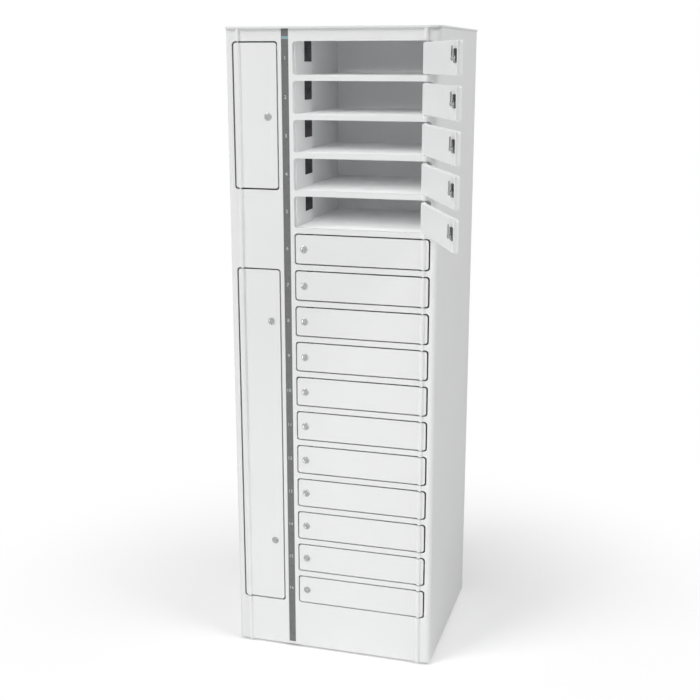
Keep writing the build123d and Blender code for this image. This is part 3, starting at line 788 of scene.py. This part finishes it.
def makeLockPlug(lockX, lockZ):
    # plug with a real key slot, seen from the front
    size = lockSize
    mesh = FoldedMesh()
    face, radius = size["plugFace"], size["plug"]
    halfWidth, halfHeight = size["slot"][0] / 2, size["slot"][1] / 2
    steps, bevel = size["plugSteps"], size["plugBevel"]
    around = [math.pi / 4 + fullTurn * i / steps for i in range(steps)]

    def circle(reach, depth):
        return [mesh.point(lockX + reach * math.cos(a), depth, lockZ + reach * math.sin(a))
                for a in around]

    rim, edge = circle(radius - bevel, face), circle(radius, face + bevel)
    end = circle(radius, size["jambDepth"] + size["camGap"])
    slot, floor = [], []
    quarter = steps // 4
    for i in range(steps):
        part = (i % quarter) / quarter
        side = i // quarter
        x0, z0 = ((halfWidth, halfHeight), (-halfWidth, halfHeight),
                  (-halfWidth, -halfHeight), (halfWidth, -halfHeight))[side]
        x1, z1 = ((-halfWidth, halfHeight), (-halfWidth, -halfHeight),
                  (halfWidth, -halfHeight), (halfWidth, halfHeight))[side]
        x, z = x0 + (x1 - x0) * part, z0 + (z1 - z0) * part
        slot.append(mesh.point(lockX + x, face, lockZ + z))
        floor.append(mesh.point(lockX + x, face + size["slotDepth"], lockZ + z))
    front = [(0.0, -1.0, 0.0)] * steps
    radial = [(math.cos(a), 0.0, math.sin(a)) for a in around]
    mesh.band(rim, slot, front, front)
    mesh.band(rim, edge, front, radial)
    mesh.band(edge, end, radial, radial)
    for i in range(steps):
        j = (i + 1) % steps
        side = i // quarter
        inward = ((0.0, 0.0, -1.0), (1.0, 0.0, 0.0), (0.0, 0.0, 1.0), (-1.0, 0.0, 0.0))[side]
        mesh.face([slot[i], slot[j], floor[j], floor[i]], [inward] * 4)
    mesh.face(floor, [(0.0, -1.0, 0.0)] * steps)
    mesh.face(end, [(0.0, 1.0, 0.0)] * steps)
    return mesh


def makeLockCam(lockX, lockZ, reach):
    # cam plate with rounded ends, washer and screw with a recess, seen on the open doors
    size = lockSize
    mesh = FoldedMesh()
    front = size["jambDepth"] + size["camGap"]
    back = front + size["camThickness"]
    half = size["camWidth"] / 2
    outline = []
    for k in range(17):
        a = math.pi + math.pi * k / 16
        outline.append((half * math.cos(a), half * math.sin(a)))
    tip = half * size["tipWidth"]
    crown = tip * size["tipLength"]
    for k in range(13):
        a = math.pi * k / 12
        outline.append((tip * math.cos(a), reach - crown + crown * math.sin(a)))
    rings, edge = [], size["camEdge"]
    for shrink, depth in ((edge, front), (0.0, front + edge), (0.0, back - edge), (edge, back)):
        rings.append([mesh.point(lockX + x * (1 - shrink / half), depth,
                                 lockZ + z - shrink * (1 if z > 0 else -1) / 2)
                      for x, z in outline])
    count = len(outline)
    normals = []
    for i in range(count):
        ax, az = outline[i - 1]
        bx, bz = outline[(i + 1) % count]
        normals.append(Vector((bz - az, 0.0, ax - bx)).normalized())
    for k, lean in ((0, -1.0), (1, 0.0), (2, 1.0)):
        tilted = [Vector((n.x, lean, n.z)) for n in normals]
        mesh.band(rings[k], rings[k + 1], tilted, tilted)
    mesh.face(rings[0], [(0.0, -1.0, 0.0)] * count)
    mesh.face(rings[-1], [(0.0, 1.0, 0.0)] * count)
    thick, washer = size["washer"], size["screwRadius"] + size["washerLap"]
    turned(mesh, (lockX, back, lockZ), "y",
           [(0.0, 0.0), (washer, 0.0), (washer, size["washerWall"]),
            (washer - size["washerBevel"], thick), (0.0, thick)])
    height, radius = size["screwHeight"] - thick, size["screwRadius"]
    recessTop, recessFoot, recessDepth = size["recess"]
    turned(mesh, (lockX, back + thick, lockZ), "y",
           [(0.0, 0.0), (radius, 0.0)]
           + [(radius - inset, height - drop) for inset, drop in size["screwRound"]]
           + [(recessTop, height), (recessFoot, height - recessDepth), (0.0, height - recessDepth)])
    return mesh


def placeDoor(opened, middle):
    lift = Matrix.Translation((0.0, 0.0, middle * mm))
    if not opened:
        return lift
    pivot = Vector((sheetLine["beadX"], frontY + sheetLine["beadDepth"], 0.0)) * mm
    swing = Matrix.Rotation(math.radians(doorSize["openAngle"]), 4, "Z")
    return Matrix.Translation(pivot) @ swing @ Matrix.Translation(-pivot) @ lift


lockX = doorSize["freeX"] + lockSize["inset"]
skinMesh = makeDoorSkin(doorSize["freeX"], doorSize["endX"], doorSize["height"]).build(
    "doorSkin", frontPaint)
panMesh = makeDoorPan(doorSize["freeX"], doorSize["height"]).build("doorPan", frontPaint)
collarMesh = makeLockCollar(lockX, 0.0).build("lockCollar", chrome)
clipMesh = makeLockClip(lockX, 0.0).build("lockClip", clipSteel)
plugMesh = makeLockPlug(lockX, 0.0).build("lockPlug", chrome)
camMesh = makeLockCam(lockX, 0.0, lockSize["camReach"]).build("lockCam", camSteel)
for number in range(1, compartments["count"] + 1):
    tag = "%02d" % number
    door, lock = "door_" + tag, "lock_" + tag
    place = placeDoor(number <= doorSize["openCount"], compartmentMiddle(number))
    skin = addPiece("doorSkin_" + tag, skinMesh, door, place)
    addPiece("doorPan_" + tag, panMesh, door, place)
    addPiece("lockCollar_" + tag, collarMesh, door, place)
    addPiece("lockClip_" + tag, clipMesh, door, place)
    plug = addPiece("lockPlug_" + tag, plugMesh, lock, place)
    addPiece("lockCam_" + tag, camMesh, lock, place)
    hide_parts(door)
    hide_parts(lock)

serviceSize = {"freeX": 158.6, "endX": 286.0}       # made on the right half and mirrored
serviceDoors = {        # lower edge, upper edge, and each lock's height
    "service_door_upper": (1449.4, 1856.6, {"lock_upper": 1653.0}),
    "service_door_lower": (159.4, 1211.6, {"lock_lower_top": 1058.0, "lock_lower_bottom": 357.0}),
}


def addMirrored(name, mesh, material, body, place):
    return addPiece(name, mesh.build(name, material, mirrored=True), body, place)


for door, (low, high, locks) in serviceDoors.items():
    tag = door.split("_")[-1]
    middle, height = (low + high) / 2, high - low
    freeX, place = serviceSize["freeX"], placeDoor(False, middle)
    skin = addMirrored("serviceSkin_" + tag, makeDoorSkin(freeX, serviceSize["endX"], height),
                       frontPaint, door, place)
    addMirrored("servicePan_" + tag, makeDoorPan(freeX, height), frontPaint, door,
                place)
    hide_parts(door)
    for lock, lockZ in locks.items():
        x, z, short = freeX + lockSize["serviceInset"], lockZ - middle, lock.replace("lock_", "")
        addMirrored("serviceCollar_" + short, makeLockCollar(x, z), chrome, door,
                    place)
        addMirrored("serviceClip_" + short, makeLockClip(x, z), clipSteel, door,
                    place)
        plug = addMirrored("servicePlug_" + short, makeLockPlug(x, z), chrome, lock,
                           place)
        addMirrored("serviceCam_" + short, makeLockCam(x, z, lockSize["serviceCamReach"]), camSteel,
                    lock, place)
        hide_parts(lock)
print("doors and locks made")


# Indicator strip: tinted face, glowing band and one number beside each compartment

stripSize = {
    "x": (-142.5, -122.4), "z": (17.3, 1894.7), "face": 0.25, "depth": 6.3, "edge": 0.5,
    "bandZ": (1866.0, 1873.5), "bandProud": 0.1, "bandDeep": 0.6, "bandBevel": 0.15,
    "numberHeight": 10.0, "numberProud": 0.06, "numberRise": 1.2, "numberHalfDepth": 0.04,
    "figureShare": 0.7,     # a figure's height, as a share of the letter size
    "figureSteps": 3,
}


def makeStripFace():
    size = stripSize
    mesh = FoldedMesh()
    (x0, x1), (z0, z1), edge = size["x"], size["z"], size["edge"]
    face, depth = size["face"], size["depth"]
    section = [(x0, depth, -1.0, 0.0), (x0, face + edge, -1.0, 0.0)]
    for k in range(1, 4):
        a = math.pi / 2 * k / 4
        section.append((x0 + edge * (1 - math.cos(a)), face + edge * (1 - math.sin(a)),
                        -math.cos(a), -math.sin(a)))
    section.append((x0 + edge, face, 0.0, -1.0))
    section += [(x0 + x1 - x, d, -nx, nd) for x, d, nx, nd in section[::-1]]
    low = [mesh.point(x, d, z0) for x, d, nx, nd in section]
    high = [mesh.point(x, d, z1) for x, d, nx, nd in section]
    normals = [(nx, nd, 0.0) for x, d, nx, nd in section]
    mesh.band(low, high, normals, normals, closed=False)
    mesh.face(low, [(0.0, 0.0, -1.0)] * len(low))
    mesh.face(high, [(0.0, 0.0, 1.0)] * len(high))
    mesh.face([low[0], low[-1], high[-1], high[0]], [(0.0, 1.0, 0.0)] * 4)
    return mesh.build("indicatorFace", stripPlastic)


stripPiece = addPiece("indicatorFace", makeStripFace(), "cabinet")
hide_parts("indicator_strip", "indicator_lenses")
bandMesh = FoldedMesh()
bandDepth = stripSize["face"] - stripSize["bandProud"], stripSize["face"] + stripSize["bandDeep"]
block(bandMesh, stripSize["x"], bandDepth, stripSize["bandZ"], stripSize["bandBevel"])
addPiece("indicatorBand", bandMesh.build("indicatorBand", bandGlow), "cabinet")


def addNumber(number):
    size = stripSize
    letters = bpy.data.curves.new("numberShape", "FONT")
    letters.body = str(number)
    letters.align_x, letters.align_y = "CENTER", "CENTER"
    letters.size = size["numberHeight"] * mm / size["figureShare"]
    letters.extrude = size["numberHalfDepth"] * mm
    letters.resolution_u = size["figureSteps"]
    holder = bpy.data.objects.new("numberShape", letters)
    bpy.context.collection.objects.link(holder)
    bpy.context.view_layer.update()
    mesh = bpy.data.meshes.new_from_object(
        holder.evaluated_get(bpy.context.evaluated_depsgraph_get()))
    bpy.data.objects.remove(holder)
    xs = [v.co.x for v in mesh.vertices]
    ys = [v.co.y for v in mesh.vertices]
    middle = Vector(((min(xs) + max(xs)) / 2, (min(ys) + max(ys)) / 2, 0.0))
    stripMiddle = sum(size["x"]) / 2
    place = Vector((stripMiddle, frontY + size["face"] - size["numberProud"],
                    compartmentMiddle(number) + size["numberRise"])) * mm
    turn = Matrix.Translation(place) @ Matrix.Rotation(math.pi / 2, 4, "X")
    mesh.transform(turn @ Matrix.Translation(-middle))
    mesh.materials.clear()
    mesh.materials.append(numberGlow)
    addPiece("number_%02d" % number, mesh, "cabinet")


for number in range(1, compartments["count"] + 1):
    addNumber(number)
print("indicator strip made")


# Studio, in metres and watts: pale floor that fades to white, two high soft lamps from the left
# and the right, a low one in front, and one that lights only the insides of the compartments

studio = {
    "floorReach": 30.0, "floorColour": (0.92, 0.92, 0.92), "floorSeen": (1.0, 1.0, 1.0),
    "floorLift": 0.14, "whiteFrom": 0.0, "whiteTo": 1.55, "worldLight": 0.20,
    "bounces": 16,          # the compartments are lit by light that bounces about in them
    "moreBounces": 4,       # kinds of bounce other than diffuse may add these
}
lamps = {
    "leftLamp": {"place": (-3.18, -3.79, 5.95), "aim": (0.0, 0.0, 1.0), "power": 262.0,
                 "size": 3.0},
    "rightLamp": {"place": (4.78, -1.28, 5.95), "aim": (0.0, 0.0, 1.0), "power": 180.0,
                  "size": 3.0},
    "lowLamp": {"place": (0.3, -2.3, 0.15), "aim": (0.0, 0.0, 0.25), "power": 15.5, "size": 1.2},
    "insideLamp": {"place": (0.0, -6.34, 3.96), "aim": (0.0, 0.0, 1.2), "power": 465.0,
                   "size": 2.5},
}
litInside = ("centre_partition", "compartment_back", "compartment_shelves", "wiring_trunk",
             "socket_outlets")


def makeFloor():
    mesh = bpy.data.meshes.new("studioFloor")
    reach = studio["floorReach"]
    mesh.from_pydata([(-reach, -reach, 0.0), (reach, -reach, 0.0), (reach, reach, 0.0),
                      (-reach, reach, 0.0)], [], [(0, 1, 2, 3)])
    floor = bpy.data.objects.new("studioFloor", mesh)
    bpy.context.collection.objects.link(floor)
    material, tree, shader = newMaterial("studioFloorPaper")
    nodes, links = tree.nodes, tree.links
    nodes.remove(shader)
    output = nodes["Material Output"]
    paper = addNode(tree, "ShaderNodeBsdfDiffuse")
    paper.inputs["Color"].default_value = (*studio["floorColour"], 1.0)
    seenPaper = addNode(tree, "ShaderNodeBsdfDiffuse")
    seenPaper.inputs["Color"].default_value = (*studio["floorSeen"], 1.0)
    lift = addNode(tree, "ShaderNodeEmission", Strength=studio["floorLift"])
    together = addNode(tree, "ShaderNodeAddShader")
    links.new(seenPaper.outputs[0], together.inputs[0])
    links.new(lift.outputs[0], together.inputs[1])
    white = addNode(tree, "ShaderNodeEmission", Strength=1.0)
    place = addNode(tree, "ShaderNodeTexCoord")
    distance = addNode(tree, "ShaderNodeVectorMath", operation="LENGTH")
    links.new(place.outputs["Object"], distance.inputs[0])
    fade = addNode(tree, "ShaderNodeMapRange", interpolation_type="SMOOTHSTEP")
    fade.inputs["From Min"].default_value = studio["whiteFrom"]
    fade.inputs["From Max"].default_value = studio["whiteTo"]
    links.new(distance.outputs["Value"], fade.inputs["Value"])
    seen = addNode(tree, "ShaderNodeMixShader")
    links.new(fade.outputs["Result"], seen.inputs[0])
    links.new(together.outputs[0], seen.inputs[1])
    links.new(white.outputs[0], seen.inputs[2])
    rays = addNode(tree, "ShaderNodeLightPath")
    direct = addNode(tree, "ShaderNodeMath", operation="MAXIMUM")
    links.new(rays.outputs["Is Camera Ray"], direct.inputs[0])
    links.new(rays.outputs["Is Glossy Ray"], direct.inputs[1])
    final = addNode(tree, "ShaderNodeMixShader")
    links.new(direct.outputs[0], final.inputs[0])
    links.new(paper.outputs[0], final.inputs[1])
    links.new(seen.outputs[0], final.inputs[2])
    links.new(final.outputs[0], output.inputs["Surface"])
    mesh.materials.append(material)


def makeWorld():
    world = bpy.data.worlds.new("studioWorld")
    bpy.context.scene.world = world
    world.use_nodes = True
    tree = world.node_tree
    light = tree.nodes["Background"]
    light.inputs["Color"].default_value = (1.0, 1.0, 1.0, 1.0)
    light.inputs["Strength"].default_value = studio["worldLight"]
    white = addNode(tree, "ShaderNodeBackground", Strength=1.0)
    white.inputs["Color"].default_value = (1.0, 1.0, 1.0, 1.0)
    rays = addNode(tree, "ShaderNodeLightPath")
    first = addNode(tree, "ShaderNodeMath", operation="MAXIMUM")
    second = addNode(tree, "ShaderNodeMath", operation="MAXIMUM")
    mix = addNode(tree, "ShaderNodeMixShader")
    links = tree.links
    links.new(rays.outputs["Is Camera Ray"], first.inputs[0])
    links.new(rays.outputs["Is Glossy Ray"], first.inputs[1])
    links.new(first.outputs[0], second.inputs[0])
    links.new(rays.outputs["Is Transmission Ray"], second.inputs[1])
    links.new(second.outputs[0], mix.inputs[0])
    links.new(light.outputs[0], mix.inputs[1])
    links.new(white.outputs[0], mix.inputs[2])
    links.new(mix.outputs[0], tree.nodes["World Output"].inputs["Surface"])


def addLamp(name, place, aim, power, size):
    data = bpy.data.lights.new(name, "AREA")
    data.energy, data.size = power, size
    lamp = bpy.data.objects.new(name, data)
    bpy.context.collection.objects.link(lamp)
    lamp.location = place
    lamp.rotation_euler = (Vector(aim) - Vector(place)).to_track_quat("-Z", "Y").to_euler()
    return lamp


makeFloor()
makeWorld()
lampPieces = {name: addLamp(name, **lamp) for name, lamp in lamps.items()}
inside = bpy.data.collections.new("insideOfCompartments")
for nodeName in litInside:
    inside.objects.link(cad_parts[nodeName])
lampPieces["insideLamp"].light_linking.receiver_collection = inside
bpy.context.scene.cycles.diffuse_bounces = studio["bounces"]
bpy.context.scene.cycles.max_bounces = studio["bounces"] + studio["moreBounces"]

camera = {
    "place": (0.9571, -3.3775, 1.8109), "tilt": 75.674, "turn": 16.129,      # metres and degrees
    "lens": 58.613, "sensor": 36.0, "shift": (-0.0007, 0.0007),
}
cameraData = bpy.data.cameras.new("photoCamera")
cameraData.sensor_width = camera["sensor"]
cameraData.lens = camera["lens"]
cameraData.shift_x, cameraData.shift_y = camera["shift"]
cameraPiece = bpy.data.objects.new("photoCamera", cameraData)
bpy.context.collection.objects.link(cameraPiece)
cameraPiece.location = camera["place"]
cameraPiece.rotation_euler = (math.radians(camera["tilt"]), 0.0, math.radians(camera["turn"]))
bpy.context.scene.camera = cameraPiece
bpy.context.scene.view_settings.view_transform = "Standard"
print("studio and camera ready")
